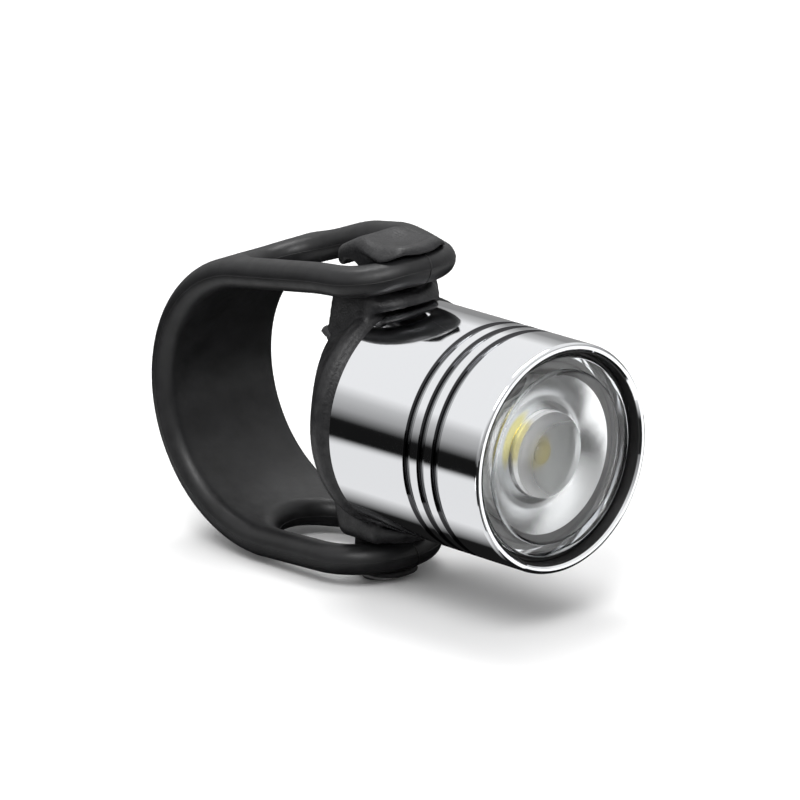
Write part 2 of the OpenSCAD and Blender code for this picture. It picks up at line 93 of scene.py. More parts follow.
# Lengths that only this script has, in millimetres: reach of the grooves' painted shade and of the
# thread's relief, the mould lines' radii, and the studio's walls.
GROOVES_FROM_Y = -39.6
GROOVES_TO_Y = -30.5
HEAD_THREAD_FROM_Y = -30.0
PLUG_THREAD_FROM_Y = -25.0
THREADS_TO_Y = -18.4
LINE_R = 0.06
CROSS_LINE_R = 0.11
WALL_R = 500.0
WALL_TOP_Z = 430.0
WALL_CENTRE_Y = -15.0

CHROME = (0.80, 0.81, 0.83)
RESISTOR_BODY = (0.03, 0.025, 0.022)


# Materials

def node(tree, kind, inputs=None, **settings):
    """A shader node; each input is a number or a socket to link from."""
    made = tree.nodes.new(kind)
    for name, value in settings.items():
        setattr(made, name, value)
    for name, value in (inputs or {}).items():
        if isinstance(value, bpy.types.NodeSocket):
            tree.links.new(value, made.inputs[name])
        else:
            made.inputs[name].default_value = value
    return made


def new_material(name, colour, roughness, **sockets):
    """A Principled material; every number that is the same all over is set on the shader's own socket."""
    material = bpy.data.materials.new(name)
    material.use_nodes = True
    shader = material.node_tree.nodes["Principled BSDF"]
    shader.inputs["Base Color"].default_value = (*colour, 1.0)
    shader.inputs["Roughness"].default_value = roughness
    for socket, value in sockets.items():
        shader.inputs[socket.replace("_", " ")].default_value = value
    return material, material.node_tree, shader


def place(tree):
    return node(tree, "ShaderNodeTexCoord").outputs["Object"]


def place_parts(tree):
    """X, Y and Z of the shaded point, in metres."""
    return node(tree, "ShaderNodeSeparateXYZ", {"Vector": place(tree)}).outputs


def math_node(tree, operation, a, b=0.0, c=0.0):
    return node(tree, "ShaderNodeMath", {0: a, 1: b, 2: c}, operation=operation).outputs[0]


def product(tree, first, *others):
    for other in others:
        first = math_node(tree, "MULTIPLY", first, other)
    return first


def above(tree, value, limit):
    return math_node(tree, "GREATER_THAN", value, limit)


def below(tree, value, limit):
    return math_node(tree, "LESS_THAN", value, limit)


def length(tree, a, b):
    square = math_node(tree, "ADD", product(tree, a, a), product(tree, b, b))
    return math_node(tree, "SQRT", square)


def ease(tree, value, start, end, low, high):
    """Goes smoothly from low at start to high at end."""
    return node(tree, "ShaderNodeMapRange", {"Value": value, "From Min": start, "From Max": end,
                                             "To Min": low, "To Max": high},
                interpolation_type="SMOOTHSTEP").outputs[0]


def noise(tree, size, detail=2.0):
    """Noise whose cells are about size millimetres across."""
    return node(tree, "ShaderNodeTexNoise", {"Vector": place(tree), "Scale": 1.0 / (size * MM),
                                             "Detail": detail}).outputs["Fac"]


def ramp(tree, factor, stops):
    """A colour band; each stop is a position and a colour, or a position and a grey."""
    made = node(tree, "ShaderNodeValToRGB", {"Fac": factor})
    band = made.color_ramp
    while len(band.elements) < len(stops):
        band.elements.new(0.5)
    for element, (position, value) in zip(band.elements, stops):
        element.position = position
        colour = value if isinstance(value, tuple) else (value, value, value)
        element.color = (*colour, 1.0)
    return made.outputs["Color"]


def vary_colour(tree, shader, size, dark, light):
    mottle = ramp(tree, noise(tree, size, 4.0), [(0.3, dark), (0.7, light)])
    tree.links.new(mottle, shader.inputs["Base Color"])


def vary_roughness(tree, shader, size, low, high):
    mottle = ramp(tree, noise(tree, size, 5.0), [(0.3, low), (0.7, high)])
    tree.links.new(mottle, shader.inputs["Roughness"])


def soft_edges(tree, radius):
    """Normals that round off the sharp edges of a moulding."""
    return node(tree, "ShaderNodeBevel", {"Radius": radius * MM}, samples=6).outputs["Normal"]


def bump(tree, height, depth, strength=1.0, under=None):
    """A bump of depth millimetres, laid over the one under it."""
    inputs = {"Height": height, "Distance": depth * MM, "Strength": strength}
    if under:
        inputs["Normal"] = under
    return node(tree, "ShaderNodeBump", inputs).outputs["Normal"]


def lamp_cylinder(tree):
    """Radius from the lamp's axis, and Y, in millimetres."""
    parts = place_parts(tree)
    radius = product(tree, length(tree, parts["X"], parts["Z"]), 1.0 / MM)
    return radius, product(tree, parts["Y"], 1.0 / MM)


def turning_marks(tree, spacing):
    """Rings left by a lathe, on faces and round walls alike."""
    radius, along = lamp_cylinder(tree)
    where = product(tree, math_node(tree, "ADD", radius, along), 1.0 / spacing)
    return node(tree, "ShaderNodeTexNoise", {"W": where, "Scale": 1.0, "Detail": 3.0},
                noise_dimensions="1D").outputs["Fac"]


def thread_height(tree, inner, outer, from_y):
    """A saw-toothed thread inside a band of radius, from from_y rearwards, flat elsewhere."""
    radius, along = lamp_cylinder(tree)
    parts = place_parts(tree)
    turn = math_node(tree, "DIVIDE", math_node(tree, "ARCTAN2", parts["Z"], parts["X"]), 2 * math.pi)
    phase = math_node(tree, "ADD", math_node(tree, "DIVIDE", along, THREAD_PITCH), turn)
    tooth = math_node(tree, "PINGPONG", phase, 0.5)
    mask = product(tree, above(tree, radius, inner), below(tree, radius, outer),
                   above(tree, along, from_y), below(tree, along, THREADS_TO_Y))
    return product(tree, tooth, mask)


def chrome_material():
    """Polished chrome, with painted shade inside the three turned grooves that turns paler at their floors.
    """
    material, tree, shader = new_material("polished_chrome", CHROME, 0.05, Metallic=1.0)
    vary_roughness(tree, shader, 3.0, 0.035, 0.075)
    radius, along = lamp_cylinder(tree)
    # Painted shade in the three grooves: a dark grey down their walls and a paler grey at their floors, in
    # place of the chrome's colour.
    full_depth = 0.6
    depth = product(tree, math_node(tree, "SUBTRACT", HEAD_R, radius), 1.0 / full_depth)
    shade = ramp(tree, depth, [(0.02, CHROME), (0.10, (0.07, 0.07, 0.075)),
                               (0.80, (0.10, 0.10, 0.105)), (0.90, (0.42, 0.43, 0.44))])
    groove = product(tree, below(tree, depth, 1.05), above(tree, along, GROOVES_FROM_Y),
                     below(tree, along, GROOVES_TO_Y))
    colour = node(tree, "ShaderNodeMix", {"Factor": groove, "A": (*CHROME, 1.0), "B": shade},
                  data_type="RGBA")
    tree.links.new(colour.outputs["Result"], shader.inputs["Base Color"])
    thread = bump(tree, thread_height(tree, 12.0, 13.6, HEAD_THREAD_FROM_Y), 0.6)
    marks = bump(tree, turning_marks(tree, 0.06), 0.0006, 1.0, thread)
    tree.links.new(bump(tree, noise(tree, 0.25, 6.0), 0.0006, 1.0, marks), shader.inputs["Normal"])
    return material


def moulded_plastic():
    """Black plastic with a moulded grain, rounded edges and the plug's thread."""
    material, tree, shader = new_material("black_moulded_plastic", (0.01, 0.01, 0.011), 0.4,
                                          Specular_IOR_Level=0.36)
    vary_colour(tree, shader, 1.4, (0.006, 0.006, 0.007), (0.018, 0.018, 0.019))
    vary_roughness(tree, shader, 1.2, 0.34, 0.46)
    thread = bump(tree, thread_height(tree, 13.0, 13.4, PLUG_THREAD_FROM_Y), 0.6, 1.0, soft_edges(tree, 0.8))
    grain = bump(tree, noise(tree, 0.34, 3.0), 0.075, 1.0, thread)
    tree.links.new(bump(tree, noise(tree, 3.0, 2.0), 0.05, 1.0, grain), shader.inputs["Normal"])
    return material


def rubber(name, dark, light, low, high, grain):
    """Rubber that varies from dark to light and from low to high roughness, with a fine grain."""
    material, tree, shader = new_material(name, dark, low, Specular_IOR_Level=0.34)
    vary_colour(tree, shader, 4.0, dark, light)
    vary_roughness(tree, shader, 1.5, low, high)
    fine = bump(tree, noise(tree, 0.12, 3.0), grain)
    tree.links.new(bump(tree, noise(tree, 2.2, 2.0), 0.05, 1.0, fine), shader.inputs["Normal"])
    return material


def clear_lens():
    """Clear plastic, frosted in its well and over the LED, whose collimator cone is mirror-coated and carries
    a painted yellow reflection of the LED.
    """
    clear, frost = 0.012, 0.42
    material, tree, shader = new_material("clear_lens", (0.97, 0.98, 0.98), clear, IOR=1.49,
                                          Transmission_Weight=1.0)
    tree.links.new(bump(tree, noise(tree, 1.6, 2.0), 0.003), shader.inputs["Normal"])
    radius, along = lamp_cylinder(tree)
    frosted = product(tree, below(tree, radius, COLLIMATOR_END_R - 0.05),
                      above(tree, along, LENS_FACE_Y - 0.2))
    tree.links.new(math_node(tree, "MULTIPLY_ADD", frosted, frost, clear), shader.inputs["Roughness"])
    slope = (COLLIMATOR_R - COLLIMATOR_END_R) / (COLLIMATOR_END_Y - LENS_REAR_Y)
    behind_rear = math_node(tree, "SUBTRACT", along, LENS_REAR_Y)
    cone = math_node(tree, "MULTIPLY_ADD", behind_rear, -slope, COLLIMATOR_R)
    off_cone = math_node(tree, "ABSOLUTE", math_node(tree, "SUBTRACT", radius, cone))
    coated = product(tree, below(tree, off_cone, 0.12), above(tree, along, LENS_REAR_Y + 0.02))
    # A painted reflection of the LED's yellow on the cone's mirror: a yellow patch at one turn about the axis
    # and one radius.
    painted_reflection_turn, painted_reflection_r = 0.55, 6.6
    parts = place_parts(tree)
    turn = math_node(tree, "ARCTAN2", parts["Z"], product(tree, parts["X"], -1.0))
    off_turn = product(tree, math_node(tree, "SUBTRACT", turn, painted_reflection_turn), 0.6)
    off_ring = product(tree, math_node(tree, "SUBTRACT", radius, painted_reflection_r), 0.28)
    painted_led_reflection = ramp(tree, length(tree, off_turn, off_ring),
                [(0.26, (0.88, 0.80, 0.34)), (0.42, (0.96, 0.97, 0.98))])
    mirror = node(tree, "ShaderNodeBsdfPrincipled", {"Base Color": painted_led_reflection, "Metallic": 1.0, "Roughness": 0.20})
    tree.links.new(bump(tree, noise(tree, 2.5, 1.0), 0.02), mirror.inputs["Normal"])
    mixed = node(tree, "ShaderNodeMixShader", {0: coated, 1: shader.outputs[0], 2: mirror.outputs[0]})
    tree.links.new(mixed.outputs[0], tree.nodes["Material Output"].inputs["Surface"])
    return material


def phosphor():
    """Yellow phosphor, with a faint painted glow of its own yellow."""
    material, tree, shader = new_material("phosphor", (0.9, 0.7, 0.05), 0.6, Emission_Strength=0.12)
    grain = ramp(tree, noise(tree, 0.3, 4.0), [(0.3, (0.80, 0.74, 0.38)), (0.7, (0.88, 0.83, 0.50))])
    tree.links.new(grain, shader.inputs["Base Color"])
    # Painted glow: the grain's yellow also feeds the emission, at strength 0.12.
    tree.links.new(grain, shader.inputs["Emission Color"])
    return material


def plain(name, dark, light, roughness, size=1.0, depth=0.01, **sockets):
    """A mottled surface with a fine grain, for the small pieces inside."""
    material, tree, shader = new_material(name, dark, roughness, **sockets)
    vary_colour(tree, shader, size * 3.0, dark, light)
    vary_roughness(tree, shader, size * 2.0, roughness * 0.8, min(1.0, roughness * 1.25))
    tree.links.new(bump(tree, noise(tree, size * 0.3, 3.0), depth), shader.inputs["Normal"])
    return material


def brushed_metal(name, colour, roughness, spacing):
    """Metal with the marks of a lathe, spacing millimetres apart."""
    material, tree, shader = new_material(name, colour, roughness, Metallic=1.0)
    vary_roughness(tree, shader, 2.0, roughness * 0.7, roughness * 1.3)
    tree.links.new(bump(tree, turning_marks(tree, spacing), 0.004), shader.inputs["Normal"])
    return material


def chip_resistor():
    """Dark ceramic with tinned ends."""
    chip_x, ceramic_half = 7.2 * MM, 0.5 * MM
    material, tree, shader = new_material("chip_resistor", RESISTOR_BODY, 0.4)
    across = math_node(tree, "SUBTRACT", math_node(tree, "ABSOLUTE", place_parts(tree)["X"]), chip_x)
    tinned = above(tree, math_node(tree, "ABSOLUTE", across), ceramic_half)
    tree.links.new(ramp(tree, tinned, [(0.4, RESISTOR_BODY), (0.6, 0.6)]), shader.inputs["Base Color"])
    tree.links.new(tinned, shader.inputs["Metallic"])
    return material


def circuit_board():
    """White solder mask with faint copper traces under it."""
    material, tree, shader = new_material("circuit_board", (0.82, 0.83, 0.82), 0.35)
    cells = node(tree, "ShaderNodeTexVoronoi", {"Vector": place(tree), "Scale": 380.0},
                 distance="MANHATTAN", feature="DISTANCE_TO_EDGE").outputs["Distance"]
    traces = ramp(tree, cells, [(0.04, (0.70, 0.72, 0.70)), (0.08, (0.84, 0.85, 0.84))])
    tree.links.new(traces, shader.inputs["Base Color"])
    tree.links.new(bump(tree, cells, 0.02), shader.inputs["Normal"])
    return material


def paint(name, material):
    """Gives a carried-over CAD node its finished material."""
    mesh = NODES[name].data
    mesh.materials.clear()
    mesh.materials.append(material)


def paint_the_cad():
    """Finishes the CAD nodes that are shown as they are; the others have a stand-in below."""
    steel = brushed_metal("screw_steel", (0.55, 0.56, 0.58), 0.28, 0.1)
    cell = brushed_metal("cell_steel", (0.72, 0.73, 0.74), 0.22, 0.08)
    gold = plain("plated_contact", (0.78, 0.60, 0.27), (0.86, 0.69, 0.36), 0.24, Metallic=1.0)
    component = plain("moulded_component", (0.02, 0.02, 0.022), (0.04, 0.04, 0.042), 0.5, 0.5)
    for name, material in {
        "body_shell": chrome_material(), "contact_screws": steel, "board_screws": steel,
        "battery_front": cell, "battery_rear": cell, "negative_contact": gold, "positive_contact": gold,
        "battery_sleeve": plain("sleeve_plastic", (0.05, 0.05, 0.052), (0.075, 0.075, 0.078), 0.5),
        "board_carrier": plain("carrier_plastic", (0.06, 0.06, 0.062), (0.09, 0.09, 0.093), 0.5),
        "led_board": circuit_board(),
        "led_base": plain("led_package", (0.86, 0.86, 0.83), (0.9, 0.9, 0.87), 0.4, 0.5),
        "led_phosphor": phosphor(),
        "led_dome": plain("led_silicone", (0.95, 0.95, 0.93), (0.97, 0.97, 0.95), 0.04, 1.0, 0.001,
                          IOR=1.41, Transmission_Weight=1.0),
        "switch_body": component, "controller_chip": component,
        "chip_resistors": chip_resistor(),
        "switch_plunger": plain("plunger_plastic", (0.80, 0.77, 0.68), (0.86, 0.83, 0.75), 0.4, 0.5),
    }.items():
        paint(name, material)


# Meshes

def make_mesh(name, points, faces, material, smooth_angle=40.0, closed=True):
    """A mesh object from points in millimetres.

    A closed one has its small end holes capped and its normals turned outward.
    """
    mesh = bpy.data.meshes.new(name)
    mesh.from_pydata((np.asarray(points, float) * MM).tolist(), [], [list(map(int, f)) for f in faces])
    mesh.validate()
    shape = bmesh.new()
    shape.from_mesh(mesh)
    bmesh.ops.remove_doubles(shape, verts=shape.verts, dist=1e-7)
    if closed:
        bmesh.ops.holes_fill(shape, edges=shape.edges, sides=6)
        bmesh.ops.recalc_face_normals(shape, faces=shape.faces)
    shape.to_mesh(mesh)
    shape.free()
    mesh.materials.append(material)
    made = bpy.data.objects.new(name, mesh)
    bpy.context.scene.collection.objects.link(made)
    mesh.shade_smooth()
    mesh.set_sharp_from_angle(angle=math.radians(smooth_angle))
    return made


def lathe(name, profile, material, steps=160):
    """A ring turned about the lamp's axis from a closed outline of radius and Y."""
    points = []
    for i in range(steps):
        turn = 2 * math.pi * i / steps
        points += [(r * math.cos(turn), y, r * math.sin(turn)) for r, y in profile]
    count = len(profile)
    faces = []
    for i in range(steps):
        for k in range(count):
            a, b = i * count + k, i * count + (k + 1) % count
            c, d = ((i + 1) % steps) * count + (k + 1) % count, ((i + 1) % steps) * count + k
            faces.append((a, d, c, b))
    return make_mesh(name, points, faces, material)


def surface_net(field, low, high, step):
    """Points and quads of the surface where a field is zero, pulled onto that surface."""
    axes = [np.arange(a, b + step, step) for a, b in zip(low, high)]
    value = field(np.stack(np.meshgrid(*axes, indexing="ij"), -1))
    cells = np.array(value.shape) - 1
    total = np.zeros((*cells, 3))
    count = np.zeros(cells)
    crossings = []
    for axis in range(3):
        a = np.take(value, range(value.shape[axis] - 1), axis)
        b = np.take(value, range(1, value.shape[axis]), axis)
        crosses = (a < 0) != (b < 0)
        share = np.where(crosses, a / np.where(a == b, 1.0, a - b), 0.0)
        spot = np.stack(np.meshgrid(*[np.arange(n) for n in a.shape], indexing="ij"), -1).astype(float)
        spot[..., axis] += share
        others = [k for k in range(3) if k != axis]
        for du in (0, 1):
            for dv in (0, 1):
                window = [slice(None)] * 3
                window[others[0]] = slice(du, du + cells[others[0]])
                window[others[1]] = slice(dv, dv + cells[others[1]])
                here = crosses[tuple(window)]
                total += np.where(here[..., None], spot[tuple(window)], 0.0)
                count += here
        crossings.append((axis, others, crosses, a < 0))
    used = count > 0
    number = np.full(used.shape, -1)
    number[used] = np.arange(used.sum())
    points = total[used] / count[used][:, None] * step + np.array(low)
    faces = []
    for axis, others, crosses, first_inside in crossings:
        spots = np.argwhere(crosses)
        inner = np.all([(spots[:, k] > 0) & (spots[:, k] < value.shape[k] - 1) for k in others], axis=0)
        spots = spots[inner]
        corner = []
        for du, dv in ((1, 1), (0, 1), (0, 0), (1, 0)):
            cell = spots.copy()
            cell[:, others[0]] -= du
            cell[:, others[1]] -= dv
            corner.append(number[tuple(cell.T)])
        quads = np.stack(corner, 1)
        turned = first_inside[tuple(spots.T)] == (axis == 1)
        quads[turned] = quads[turned][:, ::-1]
        faces.append(quads)
    for _ in range(4):
        here = field(points)
        slope = np.stack([(field(points + e) - field(points - e)) / 0.02 for e in np.eye(3) * 0.01], 1)
        points = points - slope * (here / np.maximum((slope ** 2).sum(1), 0.05))[:, None]
    return points, np.concatenate(faces)


# Strap: laid out flat as across, along and out, then bent round the bar

HALF_T = STRAP_T / 2
BRANCH_X = (STRAP_W - STRAP_T) / 2


def strap_layout():
    """Where the two branches leave the round, as angles from straight up towards the back."""
    upper_q = (UPPER_LOOP[0] - STRAP_BACK, UPPER_LOOP[1] + STRAP_DROP)
    upper = math.atan2(upper_q[0], upper_q[1]) + math.acos(STRAP_R / math.hypot(*upper_q))
    lower_q = (STRAP_BACK - LOWER_LOOP[0], -STRAP_DROP - LOWER_LOOP[1])
    lower = math.atan2(lower_q[0], lower_q[1]) - math.acos(STRAP_R / math.hypot(*lower_q))
    return upper, lower


UPPER_SLOPE, LOWER_SLOPE = strap_layout()
ARC_LENGTH = STRAP_R * (math.pi + LOWER_SLOPE - UPPER_SLOPE)
UPPER_LENGTH = (STRAP_BACK + STRAP_R * math.sin(UPPER_SLOPE) - UPPER_LOOP[0]) / math.cos(UPPER_SLOPE)
LOWER_LENGTH = (STRAP_BACK - STRAP_R * math.sin(LOWER_SLOPE) - LOWER_LOOP[0]) / math.cos(LOWER_SLOPE)
UPPER_BEND = BRANCH_X - UPPER_LENGTH
LOWER_BEND = ARC_LENGTH + LOWER_LENGTH - BRANCH_X
SLOT_HALF = BRANCH_X - HALF_T
UPPER_SLOT_END = STRAP_R * (math.asin(UPPER_SLOT_REACH / STRAP_R) - UPPER_SLOPE) - SLOT_HALF
LOWER_SLOT_END = ARC_LENGTH - STRAP_R * (math.asin(LOWER_SLOT_REACH / STRAP_R) + LOWER_SLOPE) + SLOT_HALF


def stadium(across, along, start, end, radius):
    """Distance from a rounded bar of this radius, laid from start to end; negative inside it."""
    return np.hypot(across, along - np.clip(along, start, end)) - radius


def strap_field(p):
    """Distance from the flat strap's surface; negative inside it."""
    across, along, out = p[..., 0], p[..., 1], p[..., 2]
    outline = stadium(across, along, UPPER_BEND, LOWER_BEND, BRANCH_X)
    upper_slot = stadium(across, along, UPPER_BEND, UPPER_SLOT_END, BRANCH_X)
    lower_slot = stadium(across, along, LOWER_SLOT_END, LOWER_BEND, BRANCH_X)
    plan = np.maximum(outline, np.maximum(-upper_slot, -lower_slot))
    return np.hypot(np.maximum(plan, 0.0), out) - HALF_T


def smooth(value, start, end):
    """Rises smoothly from 0 at start to 1 at end."""
    t = np.clip((value - start) / (end - start), 0.0, 1.0)
    return t * t * (3 - 2 * t)


def bend_strap(p):
    """Carries points from the flat layout round the bar, with the far upper branch humped as photographed."""
    across, along, out = p[:, 0], p[:, 1], p[:, 2]
    angle = UPPER_SLOPE + np.clip(along, 0.0, ARC_LENGTH) / STRAP_R
    y = STRAP_BACK + (STRAP_R + out) * np.sin(angle)
    z = -STRAP_DROP + (STRAP_R + out) * np.cos(angle)
    upper = np.minimum(along, 0.0)
    lower = np.maximum(along - ARC_LENGTH, 0.0)
    y = y + upper * math.cos(UPPER_SLOPE) - lower * math.cos(LOWER_SLOPE)
    z = z - upper * math.sin(UPPER_SLOPE) + lower * math.sin(LOWER_SLOPE)
    hump = smooth(-y, -9.0, 3.0) * (1.0 - smooth(-y, 7.0, 16.0)) * smooth(across, 2.6, 7.6) * (z > 0)
    sag = smooth(-y, 8.0, 17.0) * smooth(-across, 2.6, 8.0) * (z > 0)
    z = z + 1.9 * hump - 0.45 * sag
    return np.stack([across, y, z], 1)


def line_tube(name, middle, side, other, closed, material, keep=None, thick=LINE_R):
    """A thin six-sided tube along points on the flat strap, bent with it."""
    corners = [middle + thick * (side * math.cos(turn) + other * math.sin(turn))
               for turn in np.arange(6) * math.pi / 3]
    points = np.stack(corners, 1).reshape(-1, 3)
    faces = []
    for i in range(len(middle) - (0 if closed else 1)):
        j = (i + 1) % len(middle)
        if keep is None or (keep(middle[i, 1]) and keep(middle[j, 1])):
            faces += [(6 * i + k, 6 * i + (k + 1) % 6, 6 * j + (k + 1) % 6, 6 * j + k) for k in range(6)]
    used = sorted({v for face in faces for v in face})
    number = {v: n for n, v in enumerate(used)}
    return make_mesh(name, bend_strap(points[used]), [[number[v] for v in f] for f in faces], material, 80.0)


def ridge(name, start, end, radius, material, keep):
    """The thin line that the mould's two halves leave along the strap's edge."""
    steps = np.linspace(0, 1, 90)
    round_steps = np.linspace(0, math.pi, 40)
    path = [(radius, v) for v in start + (end - start) * steps]
    path += [(radius * math.cos(a), end + radius * math.sin(a)) for a in round_steps[1:-1]]
    path += [(-radius, v) for v in end + (start - end) * steps]
    path += [(-radius * math.cos(a), start - radius * math.sin(a)) for a in round_steps[1:-1]]
    middle = np.array([(across, along, 0.0) for across, along in path])
    ahead = np.roll(middle, -1, 0) - np.roll(middle, 1, 0)
    ahead /= np.linalg.norm(ahead, axis=1)[:, None]
    side = np.stack([ahead[:, 1], -ahead[:, 0], ahead[:, 2]], 1)
    return line_tube(name, middle, side, np.array((0.0, 0.0, 1.0)), True, material, keep)


def cross_line(name, front, sign, material):
    """The mould line across the outer half of a loop's round front."""
    turns = np.radians(np.linspace(-75, 75, 25))
    sunk_r, wave = HALF_T - 0.01, 0.25
    middle = np.stack([wave * np.sin(2 * turns), front + sign * sunk_r * np.cos(turns),
                       sunk_r * np.sin(turns)], 1)
    outward = np.stack([0 * turns, sign * np.cos(turns), np.sin(turns)], 1)
    return line_tube(name, middle, outward, np.array((1.0, 0.0, 0.0)), False, material, thick=CROSS_LINE_R)


def make_strap():
    """The strap as one skin in two halves, one for each loop, with their mould lines."""
    material = rubber("strap_rubber", (0.006, 0.006, 0.0065), (0.012, 0.012, 0.013), 0.34, 0.46, 0.012)
    middle = ARC_LENGTH * 0.5
    low = (-STRAP_W / 2 - 1.0, UPPER_BEND - BRANCH_X - HALF_T - 1.0, -HALF_T - 0.8)
    high = (STRAP_W / 2 + 1.0, LOWER_BEND + BRANCH_X + HALF_T + 1.0, HALF_T + 0.8)
    flat, quads = surface_net(strap_field, low, high, 0.45)
    points = bend_strap(flat)
    is_upper = flat[quads][:, :, 1].mean(1) < middle
    halves = (
        ("strap_upper", is_upper, "strap_top_loop", "upper_loop", UPPER_SLOT_END,
         (0, 7.0 * MM, 0), (0, -13.0 * MM, 0), lambda v: v <= middle),
        ("strap_lower", ~is_upper, "strap_bottom_loop", "lower_loop", LOWER_SLOT_END,
         (0, 4.0 * MM, 0), (0, -9.0 * MM, 0), lambda v: v >= middle),
    )
    for name, mask, replaced, body, slot_end, start, end, keep in halves:
        used = np.unique(quads[mask])
        number = np.full(len(points), -1)
        number[used] = np.arange(len(used))
        strap = make_mesh(name, points[used], number[quads[mask]], material, 80.0)
        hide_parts("strap_band", replaced)
        lines = [ridge(name + "_outer_line", UPPER_BEND, LOWER_BEND, STRAP_W / 2, material, keep)]
        if body == "upper_loop":
            lines.append(ridge(name + "_slot_line", UPPER_BEND, slot_end, SLOT_HALF, material, keep))
            lines.append(cross_line(name + "_cross_line", UPPER_BEND - BRANCH_X, -1.0, material))
        else:
            lines.append(ridge(name + "_slot_line", slot_end, LOWER_BEND, SLOT_HALF, material, keep))
            lines.append(cross_line(name + "_cross_line", LOWER_BEND + BRANCH_X, 1.0, material))
        for piece in [strap] + lines:
            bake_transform(piece)


def make_pad():
    """Ribbed rubber pad in the saddle."""
    material = rubber("pad_rubber", (0.02, 0.02, 0.021), (0.035, 0.035, 0.037), 0.55, 0.7, 0.02)
    half_angle = math.radians(55.8)
    outer_r, inner_r, groove = 13.88, 12.72, 0.22
    half_width, edge = 12.9 / 2, 0.25
    steps = 112
    section = []
    for i in range(steps + 1):
        angle = math.pi - half_angle + 2 * half_angle * i / steps
        in_groove = i % 8 in (3, 4, 5) and 4 < i < steps - 4
        section.append((angle, inner_r + groove * in_groove))
    section += [(angle, outer_r) for angle, _ in reversed(section)]
    points = []
    stations = [(-half_width, edge), (edge - half_width, 0.0), (half_width - edge, 0.0), (half_width, edge)]
    for x, inset in stations:
        for angle, r in section:
            pulled = r - inset if r == outer_r else r + inset
            points.append((x, pulled * math.cos(angle), pulled * math.sin(angle)))
    count = len(section)
    faces = []
    for s in range(len(stations) - 1):
        for k in range(count):
            a, b = s * count + k, s * count + (k + 1) % count
            faces.append((a, b, b + count, a + count))
    last = (len(stations) - 1) * count
    for k in range(steps):
        faces.append((k, count - 1 - k, count - 2 - k, k + 1))
        faces.append((last + k, last + k + 1, last + count - 2 - k, last + count - 1 - k))
    pad = make_mesh("saddle_pad_ribbed", points, faces, material, 30.0)
    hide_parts("saddle_pad")
    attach(pad, "base")


def round_off(mesh):
    """Evens out a dense mesh, most of all the upper hook's head, and droops that head's nose and sides."""
    flat = np.empty(len(mesh.vertices) * 3)
    mesh.vertices.foreach_get("co", flat)
    points = flat.reshape(-1, 3) / MM
    ends = np.empty(len(mesh.edges) * 2, int)
    mesh.edges.foreach_get("vertices", ends)
    a, b = ends.reshape(-1, 2).T
    degree = np.bincount(ends, minlength=len(points))[:, None]
    hook_top, rounds, nose_droop, side_droop = (20.6, 21.8), 22, 1.0, 1.1
    head = smooth(points[:, 2], *hook_top)
    weight = (0.22 + 0.38 * head)[:, None]
    for _ in range(rounds):
        total = np.zeros_like(points)
        for axis in range(3):
            total[:, axis] = (np.bincount(a, points[b, axis], len(points))
                              + np.bincount(b, points[a, axis], len(points)))
        points = points + weight * (total / degree - points)
    points[:, 2] -= nose_droop * smooth(-points[:, 1], 19.6, 22.4) * head
    points[:, 2] -= side_droop * smooth(np.abs(points[:, 0]), 2.8, 6.2) * head
    mesh.vertices.foreach_set("co", (points * MM).ravel())
    mesh.update()


def make_base():
    """The moulded base, with the rounded edges that its mould leaves."""
    mesh = NODES["base_housing"].data.copy()
    mesh.name = "base_moulded"
    shape = bmesh.new()
    shape.from_mesh(mesh)
    bmesh.ops.remove_doubles(shape, verts=shape.verts, dist=1e-6)
    shape.to_mesh(mesh)
    shape.free()
    base = bpy.data.objects.new("base_moulded", mesh)
    bpy.context.scene.collection.objects.link(base)
    remesh = base.modifiers.new("remesh", "REMESH")
    remesh.mode = "VOXEL"
    remesh.voxel_size = 0.26 * MM
    seen = base.evaluated_get(bpy.context.evaluated_depsgraph_get())
    rounded = bpy.data.meshes.new_from_object(seen)
    base.modifiers.clear()
    base.data = rounded
    round_off(rounded)
    rounded.shade_smooth()
    rounded.materials.clear()
    rounded.materials.append(moulded_plastic())
    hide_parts("base_housing")
    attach(base, "base")


def make_seals():
    """The lens's seal with the black lining of the rim's bore, and the O-ring on the plug."""
    material = rubber("seal_rubber", (0.003, 0.003, 0.0032), (0.005, 0.005, 0.0055), 0.5, 0.65, 0.008)
    inner, outer = LENS_R + 0.07, RIM_R - 0.01
    lip_r = (outer - inner) / 2
    lip = [(inner + lip_r - lip_r * math.cos(a), SEAL_FRONT_Y + lip_r - lip_r * math.sin(a))
           for a in np.linspace(0, math.pi, 13)]
    seal = lathe("lens_seal_lip", lip + [(outer, SEAL_REAR_Y), (inner, SEAL_REAR_Y)], material)
    front_y, rear_y, thick = HEAD_FRONT_Y + 0.2, SEAL_FRONT_Y + lip_r, 0.2
    lining = lathe("lens_seal_lining", [(outer, front_y), (outer, rear_y), (outer - thick, rear_y),
                                        (outer - thick, front_y + 0.1), (outer - 0.12, front_y)], material)
    for piece in (seal, lining):
        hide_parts("lens_seal")
        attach(piece, "head")
    centre, corners = ORING_OUTER_R - ORING_TUBE_R, 28
    circle = []
    for k in range(corners):
        turn = 2 * math.pi * k / corners
        r = ORING_TUBE_R - (0.0 if k in (corners // 4, 3 * corners // 4) else 0.03)
        circle.append((centre + r * math.cos(turn), ORING_Y + r * math.sin(turn)))
    ring = lathe("body_oring_round", circle, material)
    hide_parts("body_oring")
    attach(ring, "base")


